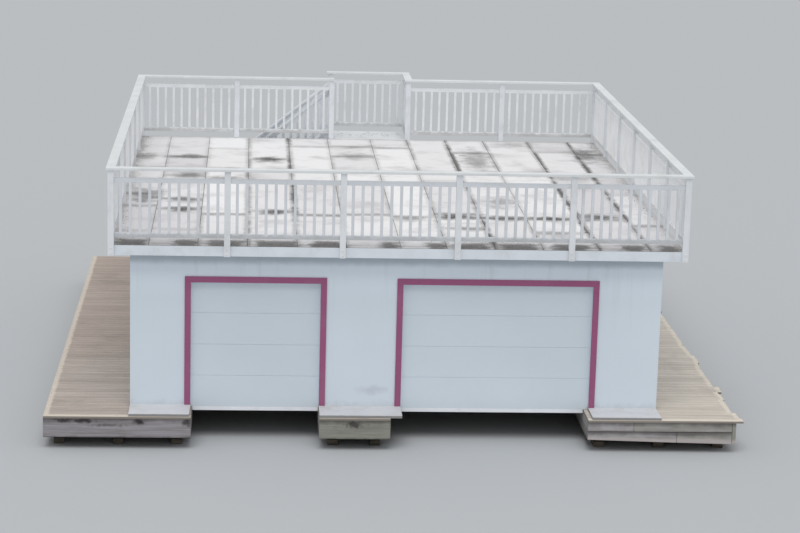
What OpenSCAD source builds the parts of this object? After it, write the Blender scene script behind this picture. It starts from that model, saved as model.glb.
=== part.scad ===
// Boathouse with a flat roof deck, standing on timber docks around two boat slips.
// X runs along the front, Y runs from the water towards the shore, Z is up.
// The origin is the centre of the docks' outline, at the waterline.

/* [Docks] */
// Height of the dock surface above the waterline
dock_h = 500; // [460:10:700]
// Thickness of the dock boards
board_t = 38; // [25:1:50]
// Height of the boards that face the edges of the docks
edge_board_h = 286; // [200:2:300]
// Thickness of edge boards, joists and fascia boards
frame_t = 38; // [30:1:50]
// Largest distance between the joists of a dock
dock_joist_pitch = 610; // [400:10:900]
// Dock surface in front of the front wall
front_ledge = 510; // [300:10:1200]
// Walkway along each side wall
side_walk = 1240; // [800:10:2400]
// Walkway behind the back wall
rear_walk = 1345; // [1290:5:2400]
// Ledge inside the back wall, at the head of the slips
rear_inner_ledge = 300; // [150:10:1500]
// Distance that the dock boards run past their frame, at the right edge of the docks
board_overhang = 110; // [0:10:200]

/* [Boat slips] */
// Clear width of the left slip
left_slip_w = 1890; // [1500:10:2100]
// Left slip's centre to the right of the left door's centre
left_slip_shift = 10; // [-100:5:100]
// Clear width of the right slip
right_slip_w = 2940; // [2400:5:3000]
// Right slip's centre to the right of the right door's centre
right_slip_shift = -115; // [-160:5:100]

/* [Cribs] */
// Length of a crib along the pier
crib_l = 1800; // [1000:50:2200]
// Width of a crib timber
crib_timber_w = 160; // [120:10:180]
// Largest distance between the timbers of a course of a crib
crib_pitch = 1000; // [600:10:1050]
// Cribs under each pier, front to back
crib_rows = 4; // [3:1:4]
// Distance from the front and rear edges of the docks to the cribs below them
crib_setback = 260; // [200:10:300]
// Distance from the sides of a pier's frame to the lengthwise timbers of its cribs
crib_side = 130; // [80:10:200]
// Distance from the sides of a pier's frame to the ends of the timbers that cross it
crib_cross_side = 20; // [0:5:60]
// Length that the lengthwise timbers run past the ones that cross them
crib_end = 70; // [40:5:100]

/* [Walls] */
// Outside width of the walls
wall_w = 7880; // [7400:10:9000]
// Outside depth of the walls
wall_d = 9010; // [7600:10:11000]
// Height of the walls above the dock surface
wall_h = 2380; // [2300:10:2800]
// Thickness of the walls
wall_t = 140; // [120:5:200]
// Thickness of the planks under the front wall
sill_t = 45; // [30:1:60]

/* [Boat doors] */
// Width of the wall between the left corner and the left doorway
left_corner_w = 890; // [700:5:1100]
// Width of the left doorway
left_door_w = 1910; // [1600:10:2100]
// Width of the wall between the right corner and the right doorway
right_corner_w = 1030; // [850:5:1200]
// Width of the right doorway
right_door_w = 2830; // [2500:10:3000]
// Height of both doorways above the dock surface
door_h = 1910; // [1700:10:2100]
// Thickness of a door
door_t = 45; // [35:1:55]
// Sections of a door, one above the other
door_sections = 4; // [3:1:5]
// Width of the groove between two sections
door_groove_w = 8; // [4:1:12]
// Depth of the groove between two sections
door_groove_depth = 6; // [3:1:10]
// Distance from the face of the wall back to the door
door_setback = 60; // [20:5:65]
// How far the bottom bar of a door hangs below the dock surface
door_drop = 60; // [30:5:90]
// Gap between a bottom bar and the sides of its slip
door_clearance = 8; // [4:1:20]
// Width of the boards around a doorway
trim_w = 90; // [80:5:150]
// Thickness of the boards around a doorway
trim_t = 22; // [15:1:35]

/* [Roof] */
// Distance that the roof runs past the walls
overhang = 265; // [150:5:290]
// Depth of the roof joists between the side walls
joist_h = 235; // [180:5:300]
// Depth of the roof joists over the walls and the overhang
joist_eave_h = 130; // [90:5:160]
// Largest distance between the roof joists
roof_joist_pitch = 600; // [400:10:900]
// Thickness of the soffit boards
soffit_t = 12; // [8:1:20]
// Distance that the fascia boards hang below the soffit
fascia_lip = 8; // [0:1:20]
// Thickness of the roof deck panels
deck_t = 20; // [12:1:30]

/* [Railing] */
// Height of the top of the cap above the roof deck
guard_h = 1127; // [1000:1:1300]
// Side of a square post
post_w = 90; // [70:1:110]
// Width of the cap board
cap_w = 140; // [110:1:200]
// Thickness of the cap board
cap_t = 38; // [25:1:50]
// Height of the upper and lower rails
rail_h = 64; // [60:1:100]
// Thickness of the rails
rail_t = 42; // [30:1:55]
// Gap between the cap board and the upper rail
cap_gap = 115; // [60:5:160]
// Gap between the deck and the lower rail
deck_gap = 100; // [50:5:130]
// Side of a square baluster
baluster_w = 42; // [30:1:55]
// Wanted distance from one baluster to the next
baluster_pitch = 140; // [110:1:160]
// Bays of the front railing
front_bays = 5; // [4:1:7]
// Bays of each side railing
side_bays = 6; // [4:1:8]
// Bays of the back railing on each side of the landing
back_bays = 2; // [1:1:3]

/* [Landing] */
// Distance between the centres of the landing's posts, along the wall
landing_w = 1420; // [1200:10:1600]
// Distance from the edge of the roof to the centres of the outer posts
landing_d = 920; // [850:5:960]

/* [Stair] */
// Number of steps up, from the dock to the landing
risers = 13; // [12:1:15]
// Horizontal distance from one step to the next
going = 245; // [220:1:250]
// Distance that the front of a tread runs past the tread below
nosing = 25; // [0:1:35]
// Thickness of a tread
tread_t = 38; // [30:1:50]
// Depth of a stringer, across its length
stringer_h = 286; // [240:2:300]
// Height of the stringer's upper edge above the line of the nosings
stringer_rise = 40; // [10:5:60]
// Height of the handrail's upper edge above the line of the nosings
handrail_h = 950; // [900:5:1060]
// Width of the handrail
handrail_w = 89; // [60:1:110]
// Gap between the line of the nosings and the stair railing's lower rail
stair_gap = 100; // [70:5:130]
// Gap between the inner stair railing's post and the posts of the roof
newel_gap = 10; // [5:1:20]
// Distance that the stair's posts rise above the handrails
newel_rise = 25; // [0:1:80]
// Thickness of the caps of the stair's posts, at their edges
newel_cap_t = 14; // [8:1:30]
// Rise of a stair post's cap from its edges to its middle
newel_cap_rise = 14; // [6:1:30]
// How far the cap of a stair post runs past the post
newel_cap_out = 12; // [6:1:20]

/* [Hidden] */
// Docks and walls, from the waterline up
dock_w = wall_w + 2 * side_walk;
dock_d = front_ledge + wall_d + rear_walk;
frame_top = dock_h - board_t;
crib_h = frame_top - edge_board_h;
dock_y0 = -dock_d / 2;
dock_y1 = dock_d / 2;
wall_y0 = dock_y0 + front_ledge;
wall_y1 = wall_y0 + wall_d;
rear_y0 = wall_y1 - wall_t - rear_inner_ledge;
wall_top = dock_h + wall_h;
sill_top = dock_h + sill_t;
door_top = dock_h + door_h;

// Sides of the doorways and of the slips
left_door = [left_corner_w - wall_w / 2, left_corner_w - wall_w / 2 + left_door_w];
right_door = [wall_w / 2 - right_corner_w - right_door_w, wall_w / 2 - right_corner_w];
left_slip_x = (left_door[0] + left_door[1]) / 2 + left_slip_shift;
right_slip_x = (right_door[0] + right_door[1]) / 2 + right_slip_shift;
left_slip = [left_slip_x - left_slip_w / 2, left_slip_x + left_slip_w / 2];
right_slip = [right_slip_x - right_slip_w / 2, right_slip_x + right_slip_w / 2];
left_pier = [-dock_w / 2, left_slip[0]];
centre_pier = [left_slip[1], right_slip[0]];
right_pier = [right_slip[1], dock_w / 2];
rear_dock = [-dock_w / 2, dock_w / 2];

// Sides of the frames under the boards
frame_end = dock_w / 2 - board_overhang;
right_frame = [right_slip[1], frame_end];
pier_frames = [left_pier, centre_pier, right_frame];
rear_frame = [-dock_w / 2, frame_end];

// Cribs
crib_course_h = crib_h / 2;
crib_step = (dock_d - 2 * crib_setback - crib_l) / (crib_rows - 1);
crib_places = [for (i = [0 : crib_rows - 1]) dock_y0 + crib_setback + i * crib_step];

// Front wall pieces between the corners and the doorways
front_left = [-wall_w / 2, left_door[0]];
front_centre = [left_door[1], right_door[0]];
front_right = [right_door[1], wall_w / 2];

// Roof, from the top of the walls up
roof_w = wall_w + 2 * overhang;
roof_y0 = wall_y0 - overhang;
roof_y1 = wall_y1 + overhang;
roof_d = roof_y1 - roof_y0;
soffit_z = wall_top - soffit_t;
fascia_z = soffit_z - fascia_lip;
panel_z = wall_top + joist_eave_h;
deck_top = panel_z + deck_t;

// Railing heights
cap_top = deck_top + guard_h;
cap_z = cap_top - cap_t;
upper_rail_z = cap_z - cap_gap - rail_h;
lower_rail_z = deck_top + deck_gap;
front_bay = roof_w / front_bays;
side_bay = roof_d / side_bays;
back_bay = (roof_w - landing_w) / 2 / back_bays;

// Landing and stair
landing_y1 = roof_y1 + landing_d;
landing_half = landing_w / 2;
inner_newel_y = roof_y1 + post_w + newel_gap;
stair_top_x = -landing_half;
rise = (deck_top - dock_h) / risers;
slope = rise / going;
slope_stretch = sqrt(1 + slope * slope);
stringer_v = stringer_h * slope_stretch;
handrail_v = cap_t * slope_stretch;
stair_rail_v = rail_h * slope_stretch;
stair_foot_x = stair_top_x - (risers - 1) * going - nosing;
foot_newel_x = stair_foot_x - post_w / 2;

// Distance that a cut runs past the piece that it is made in
cut_over = 1;

// A box between two opposite corners
module block(low, high) {
    translate(low) cube(high - low);
}

// Near edges of equal members, no further apart than a pitch, from the first edge to the last
function spread(first, last, pitch) =
    let (count = max(1, ceil((last - first) / pitch)))
    [for (i = [0 : count]) first + i * (last - first) / count];

// A shape in X and Z, given a thickness along Y around the plane y
module upright(y, thickness) {
    translate([0, y + thickness / 2, 0]) rotate([90, 0, 0]) linear_extrude(thickness) children();
}

// Docks

module dock_boards(x, y) {
    block([x[0], y[0], frame_top], [x[1], y[1], dock_h]);
}

// A board across the ends of the joists, its outer or inner face at y
module rim_board(x, y) {
    block([x[0], y, crib_h], [x[1], y + frame_t, frame_top]);
}

// Joists under the boards, the outer two flush with the sides of the frame
module dock_joists(x, y) {
    for (side = spread(x[0], x[1] - frame_t, dock_joist_pitch))
        block([side, y[0], crib_h], [side + frame_t, y[1], frame_top]);
}

// Left edges of the timbers of a crib that run along the pier, for a frame between two sides
function long_timbers(x) = spread(x[0] + crib_side, x[1] - crib_side - crib_timber_w, crib_pitch);

// Front edges of its timbers that run across the pier, for a crib between y and y + crib_l
function cross_timbers(y) = spread(y + crib_end, y + crib_l - crib_end - crib_timber_w, crib_pitch);

module left_pier_boards() {
    color("tan") dock_boards(left_pier, [dock_y0, rear_y0]);
}

module centre_pier_boards() {
    color("tan") dock_boards(centre_pier, [dock_y0, rear_y0]);
}

module right_pier_boards() {
    color("tan") dock_boards(right_pier, [dock_y0, rear_y0]);
}

module rear_dock_boards() {
    color("tan") dock_boards(rear_dock, [rear_y0, dock_y1]);
}

// The joists of a pier run from its rim board to the rim board of the rear dock
module left_pier_joists() {
    color("gray") dock_joists(left_pier, [dock_y0 + frame_t, rear_y0]);
}

module centre_pier_joists() {
    color("gray") dock_joists(centre_pier, [dock_y0 + frame_t, rear_y0]);
}

module right_pier_joists() {
    color("gray") dock_joists(right_frame, [dock_y0 + frame_t, rear_y0]);
}

module rear_dock_joists() {
    color("gray") dock_joists(rear_frame, [rear_y0 + frame_t, dock_y1 - frame_t]);
}

module dock_rim_boards() {
    color("gray") {
        for (x = pier_frames)
            rim_board(x, dock_y0);
        for (y = [rear_y0, dock_y1 - frame_t])
            rim_board(rear_frame, y);
    }
}

// The lower course of the cribs, which stands at the waterline
module crib_long_timbers() {
    color("dimgray") for (frame = pier_frames, y = crib_places, x = long_timbers(frame))
        block([x, y, 0], [x + crib_timber_w, y + crib_l, crib_course_h]);
}

// The upper course of the cribs, which carries the joists
module crib_cross_timbers() {
    color("dimgray") for (frame = pier_frames, place = crib_places, y = cross_timbers(place))
        block([frame[0] + crib_cross_side, y, crib_course_h],
            [frame[1] - crib_cross_side, y + crib_timber_w, crib_h]);
}

// Walls

// Planks that carry the front wall and reach out to the front edge of the piers
module sill_planks() {
    color("white") for (x = [front_left, front_centre, front_right])
        block([x[0], dock_y0, dock_h], [x[1], wall_y0 + wall_t, sill_top]);
}

module front_wall_piece(x) {
    block([x[0], wall_y0, sill_top], [x[1], wall_y0 + wall_t, door_top]);
}

module front_wall_left() {
    color("lightsteelblue") front_wall_piece(front_left);
}

module front_wall_centre() {
    color("lightsteelblue") front_wall_piece(front_centre);
}

module front_wall_right() {
    color("lightsteelblue") front_wall_piece(front_right);
}

module front_wall_header() {
    color("lightsteelblue")
        block([-wall_w / 2, wall_y0, door_top], [wall_w / 2, wall_y0 + wall_t, wall_top]);
}

module side_wall(x0) {
    block([x0, wall_y0 + wall_t, dock_h], [x0 + wall_t, wall_y1 - wall_t, wall_top]);
}

module left_wall() {
    color("lightsteelblue") side_wall(-wall_w / 2);
}

module right_wall() {
    color("lightsteelblue") side_wall(wall_w / 2 - wall_t);
}

module back_wall() {
    color("lightsteelblue")
        block([-wall_w / 2, wall_y1 - wall_t, dock_h], [wall_w / 2, wall_y1, wall_top]);
}

// Boat doors, which fill their doorways from side to side, with a groove between sections

module boat_door(x) {
    y = wall_y0 + door_setback;
    difference() {
        block([x[0], y, dock_h], [x[1], y + door_t, door_top]);
        for (i = [1 : door_sections - 1])
            let (z = dock_h + i * door_h / door_sections)
                block([x[0] - cut_over, y - cut_over, z - door_groove_w / 2],
                    [x[1] + cut_over, y + door_groove_depth, z + door_groove_w / 2]);
    }
}

module left_boat_door() {
    color("lightslategray") boat_door(left_door);
}

module right_boat_door() {
    color("lightslategray") boat_door(right_door);
}

// A bar under each door that hangs between the sides of the slip
module bottom_bar(door, slip) {
    y = wall_y0 + door_setback;
    x0 = max(door[0], slip[0]) + door_clearance;
    x1 = min(door[1], slip[1]) - door_clearance;
    block([x0, y, dock_h - door_drop], [x1, y + door_t, dock_h]);
}

module door_bottom_bars() {
    color("white") {
        bottom_bar(left_door, left_slip);
        bottom_bar(right_door, right_slip);
    }
}

// Boards on the left, the top and the right of a doorway
module door_trim(x) {
    y = [wall_y0 - trim_t, wall_y0];
    block([x[0] - trim_w, y[0], sill_top], [x[0], y[1], door_top]);
    block([x[1], y[0], sill_top], [x[1] + trim_w, y[1], door_top]);
    block([x[0] - trim_w, y[0], door_top], [x[1] + trim_w, y[1], door_top + trim_w]);
}

module door_trims() {
    color("palevioletred") {
        door_trim(left_door);
        door_trim(right_door);
    }
}

// Roof

// A joist across the building: deep between the side walls, cut down where it passes over them
module roof_joist(y) {
    inside = wall_w / 2 - wall_t;
    end = roof_w / 2 - frame_t;
    low = panel_z - joist_h;
    upright(y, frame_t) polygon([
        [-end, wall_top], [-inside, wall_top], [-inside, low], [inside, low],
        [inside, wall_top], [end, wall_top], [end, panel_z], [-end, panel_z]
    ]);
}

module roof_joists() {
    first = wall_y0 + wall_t / 2;
    last = wall_y1 - wall_t / 2;
    end = roof_w / 2 - frame_t;
    // The outer two lie on the front and back walls and are of eave depth all along
    color("burlywood") for (y = spread(first, last, roof_joist_pitch))
        if (y == first || y == last)
            block([-end, y - frame_t / 2, wall_top], [end, y + frame_t / 2, panel_z]);
        else
            roof_joist(y);
}

// Soffit strips between the walls and the fascia boards
module soffit_front_back() {
    end = roof_w / 2 - frame_t;
    color("white") for (y = [[roof_y0 + frame_t, wall_y0], [wall_y1, roof_y1 - frame_t]])
        block([-end, y[0], soffit_z], [end, y[1], wall_top]);
}

module soffit_sides() {
    end = roof_w / 2 - frame_t;
    color("white") for (x = [[-end, -wall_w / 2], [wall_w / 2, end]])
        block([x[0], wall_y0, soffit_z], [x[1], wall_y1, wall_top]);
}

module fascia_front_back() {
    color("white") for (y = [roof_y0, roof_y1 - frame_t])
        block([-roof_w / 2, y, fascia_z], [roof_w / 2, y + frame_t, panel_z]);
}

module fascia_sides() {
    color("white") for (x = [-roof_w / 2, roof_w / 2 - frame_t])
        block([x, roof_y0 + frame_t, fascia_z], [x + frame_t, roof_y1 - frame_t, panel_z]);
}

module roof_deck() {
    color("whitesmoke") block([-roof_w / 2, roof_y0, panel_z], [roof_w / 2, roof_y1, deck_top]);
}

// Railing

// The space taken by the roof's edge, which a post is cut around
module roof_edge() {
    block([-roof_w / 2, roof_y0, fascia_z - cut_over], [roof_w / 2, roof_y1, deck_top]);
}

module landing_edge() {
    block([-landing_half, roof_y1, fascia_z], [landing_half, landing_y1, deck_top]);
}

module post(x, y, low, high) {
    translate([x - post_w / 2, y - post_w / 2, low]) cube([post_w, post_w, high - low]);
}

// A post half on the deck and half outside it, whose leg runs down over the fascia
module roof_post(x, y) {
    difference() {
        post(x, y, fascia_z, cap_z);
        roof_edge();
        landing_edge();
    }
}

module railing_posts() {
    color("white") {
        for (i = [0 : front_bays])
            roof_post(i * front_bay - roof_w / 2, roof_y0);
        for (x = [-roof_w / 2, roof_w / 2], i = [1 : side_bays - 1])
            roof_post(x, roof_y0 + i * side_bay);
        for (side = [-1, 1], i = [0 : back_bays])
            roof_post(side * (landing_half + i * back_bay), roof_y1);
    }
}

// Upper rail, lower rail and balusters between two posts whose centres are a bay apart, along X
module rail_bay(bay) {
    spaces = round(bay / baluster_pitch);
    for (z = [lower_rail_z, upper_rail_z])
        block([post_w / 2, -rail_t / 2, z], [bay - post_w / 2, rail_t / 2, z + rail_h]);
    for (i = [1 : spaces - 1])
        translate([i * bay / spaces - baluster_w / 2, -baluster_w / 2, lower_rail_z + rail_h])
            cube([baluster_w, baluster_w, upper_rail_z - lower_rail_z - rail_h]);
}

module front_railing() {
    color("white") for (i = [0 : front_bays - 1])
        translate([i * front_bay - roof_w / 2, roof_y0, 0]) rail_bay(front_bay);
}

module side_railing(x) {
    for (i = [0 : side_bays - 1])
        translate([x, roof_y0 + i * side_bay, 0]) rotate([0, 0, 90]) rail_bay(side_bay);
}

module left_railing() {
    color("white") side_railing(-roof_w / 2);
}

module right_railing() {
    color("white") side_railing(roof_w / 2);
}

module back_railing() {
    color("white") for (start = [-roof_w / 2, landing_half], i = [0 : back_bays - 1])
        translate([start + i * back_bay, roof_y1, 0]) rail_bay(back_bay);
}

// A cap board seen from above
module cap_board(points) {
    translate([0, 0, cap_z]) linear_extrude(cap_t) polygon(points);
}

// Caps along X: the front, both sides of the way to the landing, and the back of the landing
module cap_front_back() {
    h = cap_w / 2;
    x = roof_w / 2;
    l = landing_half;
    color("white") {
        cap_board([[-x - h, roof_y0 - h], [x + h, roof_y0 - h],
            [x - h, roof_y0 + h], [-x + h, roof_y0 + h]]);
        cap_board([[-x - h, roof_y1 + h], [-x + h, roof_y1 - h],
            [-l + post_w / 2, roof_y1 - h], [-l + post_w / 2, roof_y1 + h]]);
        cap_board([[x + h, roof_y1 + h], [x - h, roof_y1 - h],
            [l + h, roof_y1 - h], [l + h, roof_y1 + h]]);
        cap_board([[-l - h, landing_y1 + h], [-l - h, landing_y1 - h],
            [l - h, landing_y1 - h], [l + h, landing_y1 + h]]);
    }
}

// Caps along Y: both sides of the roof, and the right side of the landing
module cap_sides() {
    h = cap_w / 2;
    x = roof_w / 2;
    l = landing_half;
    color("white") {
        for (side = [-1, 1])
            cap_board([[side * (x + h), roof_y0 - h], [side * (x - h), roof_y0 + h],
                [side * (x - h), roof_y1 - h], [side * (x + h), roof_y1 + h]]);
        cap_board([[l - h, roof_y1 - h], [l + h, roof_y1 - h],
            [l + h, landing_y1 + h], [l - h, landing_y1 - h]]);
    }
}

// Landing behind the roof deck

module landing_boards() {
    color("lightgray")
        block([-landing_half, roof_y1, deck_top - board_t], [landing_half, landing_y1, deck_top]);
}

module landing_frame() {
    top = deck_top - board_t;
    inner = landing_half - frame_t;
    color("white") {
        for (y = [roof_y1, landing_y1 - frame_t])
            block([-landing_half, y, fascia_z], [landing_half, y + frame_t, top]);
        for (i = [0 : 3])
            translate([-landing_half + i * (landing_w - frame_t) / 3, roof_y1, fascia_z])
                cube([frame_t, landing_d, top - fascia_z]);
    }
}

// The outer posts stand on the dock and are notched to carry the corners of the landing
module landing_posts() {
    color("white") for (x = [-landing_half, landing_half])
        difference() {
            post(x, landing_y1, dock_h, cap_z);
            landing_edge();
        }
}

module landing_railing() {
    color("white") {
        translate([-landing_half, landing_y1, 0]) rail_bay(landing_w);
        translate([landing_half, roof_y1, 0]) rotate([0, 0, 90]) rail_bay(landing_d);
    }
}

// Stair along the back of the building, down to the left

// Height of the line of the nosings at x
function nosing_z(x) = deck_top + (x - stair_top_x) * slope;

// A bar along the stair between x0 and x1, its lower and upper edges above the line of the nosings
module slope_bar(y, thickness, x0, x1, low, high) {
    upright(y, thickness) polygon([
        [x0, nosing_z(x0) + low], [x1, nosing_z(x1) + low],
        [x1, nosing_z(x1) + high], [x0, nosing_z(x0) + high]
    ]);
}

stair_ys = [inner_newel_y, landing_y1];
stair_x0 = foot_newel_x + post_w / 2;
stair_x1 = stair_top_x - post_w / 2;

module stair_stringers() {
    color("white") for (y = stair_ys)
        intersection() {
            slope_bar(y, frame_t, stair_x0, stair_x1, stringer_rise - stringer_v, stringer_rise);
            block([stair_x0, y - frame_t, dock_h], [stair_x1, y + frame_t, deck_top]);
        }
}

module stair_treads() {
    color("lightgray") for (i = [1 : risers - 1])
        let (x = stair_top_x - i * going, top = deck_top - i * rise)
            block([x - nosing, inner_newel_y + frame_t / 2, top - tread_t],
                [x + going, landing_y1 - frame_t / 2, top]);
}

// A square cap whose top slopes up to the middle from all four sides
module newel_cap(x, y, z) {
    half = post_w / 2 + newel_cap_out;
    translate([x, y, z]) intersection_for (turn = [0, 90])
        rotate([0, 0, turn]) upright(0, 2 * half) polygon([
            [-half, 0], [half, 0], [half, newel_cap_t],
            [0, newel_cap_t + newel_cap_rise], [-half, newel_cap_t]
        ]);
}

// Posts at the foot of the stair, and one beside the roof's edge at its head
module stair_posts() {
    foot_top = nosing_z(stair_x0) + handrail_h + newel_rise;
    head_top = nosing_z(stair_x1) + handrail_h + newel_rise;
    head_low = nosing_z(stair_x1) + stringer_rise - stringer_v;
    color("white") {
        for (y = stair_ys) {
            post(foot_newel_x, y, dock_h, foot_top);
            newel_cap(foot_newel_x, y, foot_top);
        }
        difference() {
            post(stair_top_x, inner_newel_y, head_low, head_top);
            landing_edge();
        }
        newel_cap(stair_top_x, inner_newel_y, head_top);
    }
}

// Sloping lower and upper rails with balusters between them, below the handrail
module stair_railing(y) {
    top = handrail_h - handrail_v;
    spaces = round((stair_x1 - stair_x0) / baluster_pitch);
    slope_bar(y, rail_t, stair_x0, stair_x1, stair_gap, stair_gap + stair_rail_v);
    slope_bar(y, rail_t, stair_x0, stair_x1, top - stair_rail_v, top);
    for (i = [1 : spaces - 1])
        let (x = stair_x0 + i * (stair_x1 - stair_x0) / spaces)
            slope_bar(y, baluster_w, x - baluster_w / 2, x + baluster_w / 2,
                stair_gap + stair_rail_v, top - stair_rail_v);
}

module stair_railings() {
    color("white") for (y = stair_ys)
        stair_railing(y);
}

module stair_handrails() {
    color("white") for (y = stair_ys)
        slope_bar(y, handrail_w, stair_x0, stair_x1, handrail_h - handrail_v, handrail_h);
}

left_pier_boards();
centre_pier_boards();
right_pier_boards();
rear_dock_boards();
left_pier_joists();
centre_pier_joists();
right_pier_joists();
rear_dock_joists();
dock_rim_boards();
crib_long_timbers();
crib_cross_timbers();
sill_planks();
front_wall_left();
front_wall_centre();
front_wall_right();
front_wall_header();
left_wall();
right_wall();
back_wall();
left_boat_door();
right_boat_door();
door_bottom_bars();
door_trims();
roof_joists();
soffit_front_back();
soffit_sides();
fascia_front_back();
fascia_sides();
roof_deck();
railing_posts();
front_railing();
left_railing();
right_railing();
back_railing();
cap_front_back();
cap_sides();
landing_boards();
landing_frame();
landing_posts();
landing_railing();
stair_stringers();
stair_treads();
stair_posts();
stair_railings();
stair_handrails();
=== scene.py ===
"""Looks of the boathouse: paint, weathered boards, deck panels, fasteners, the light and the camera.

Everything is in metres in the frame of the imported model: X to the right along the front, Y from the
front to the back, Z up from the foot of the cribs.
"""

import math
import random

import bmesh
import bpy
from mathutils import Matrix, Vector


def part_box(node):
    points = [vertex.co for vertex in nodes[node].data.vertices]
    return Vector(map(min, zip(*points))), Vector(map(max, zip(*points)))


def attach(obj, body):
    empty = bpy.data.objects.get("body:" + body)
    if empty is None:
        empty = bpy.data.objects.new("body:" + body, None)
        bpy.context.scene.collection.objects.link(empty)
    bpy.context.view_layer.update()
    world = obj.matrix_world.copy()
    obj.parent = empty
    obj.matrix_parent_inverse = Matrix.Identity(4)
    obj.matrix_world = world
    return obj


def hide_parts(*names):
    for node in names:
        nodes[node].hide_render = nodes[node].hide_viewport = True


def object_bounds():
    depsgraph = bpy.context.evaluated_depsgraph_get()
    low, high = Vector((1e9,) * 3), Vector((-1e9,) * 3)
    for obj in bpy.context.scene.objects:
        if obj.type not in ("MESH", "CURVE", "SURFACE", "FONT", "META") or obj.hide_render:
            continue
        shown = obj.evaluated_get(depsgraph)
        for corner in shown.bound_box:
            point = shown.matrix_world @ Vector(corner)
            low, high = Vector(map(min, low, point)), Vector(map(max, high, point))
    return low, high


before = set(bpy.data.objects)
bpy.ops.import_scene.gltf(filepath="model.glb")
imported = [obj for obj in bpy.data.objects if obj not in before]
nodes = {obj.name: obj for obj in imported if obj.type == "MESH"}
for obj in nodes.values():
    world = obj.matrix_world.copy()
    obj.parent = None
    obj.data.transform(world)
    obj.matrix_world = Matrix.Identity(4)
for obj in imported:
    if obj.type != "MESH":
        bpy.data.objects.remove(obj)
cad_box = [list(corner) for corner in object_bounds()]

FRONT_EDGE = cad_box[0][1]
UP = (0, 0, 1)
# Vertices of the CAD meshes that lie closer than this are one
MERGE_DISTANCE = 0.0001

# Camera, with its lens and sensor in millimetres

CAMERA_PLACE = Vector((-2.208, -38.226, 10.132))
CAMERA_AIM = Vector((0.27, -1.2, 1.85))
CAMERA_ROLL = math.radians(1.53)
CAMERA_LENS = 104.3
SENSOR_WIDTH = 36.0
FAR_CLIP = 2000.0


def camera():
    """The photograph's standpoint, turned towards the building and with a longer lens."""
    data = bpy.data.cameras.new("camera")
    data.lens = CAMERA_LENS
    data.sensor_width = SENSOR_WIDTH
    data.clip_end = FAR_CLIP
    made = bpy.data.objects.new("camera", data)
    bpy.context.scene.collection.objects.link(made)
    turn = (CAMERA_AIM - CAMERA_PLACE).to_track_quat("-Z", "Y").to_matrix()
    roll = Matrix.Rotation(CAMERA_ROLL, 3, "Z")
    made.matrix_world = Matrix.Translation(CAMERA_PLACE) @ (turn @ roll).to_4x4()
    bpy.context.scene.camera = made


# Colours and materials


def linear(level):
    """A level of the screen, 0 to 255, as Blender's linear value."""
    share = level / 255
    return share / 12.92 if share < 0.04045 else ((share + 0.055) / 1.055) ** 2.4


def screen(*levels):
    """A colour given as it shows on the screen, 0 to 255, in Blender's linear values."""
    return (*[linear(level) for level in levels], 1.0)


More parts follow.
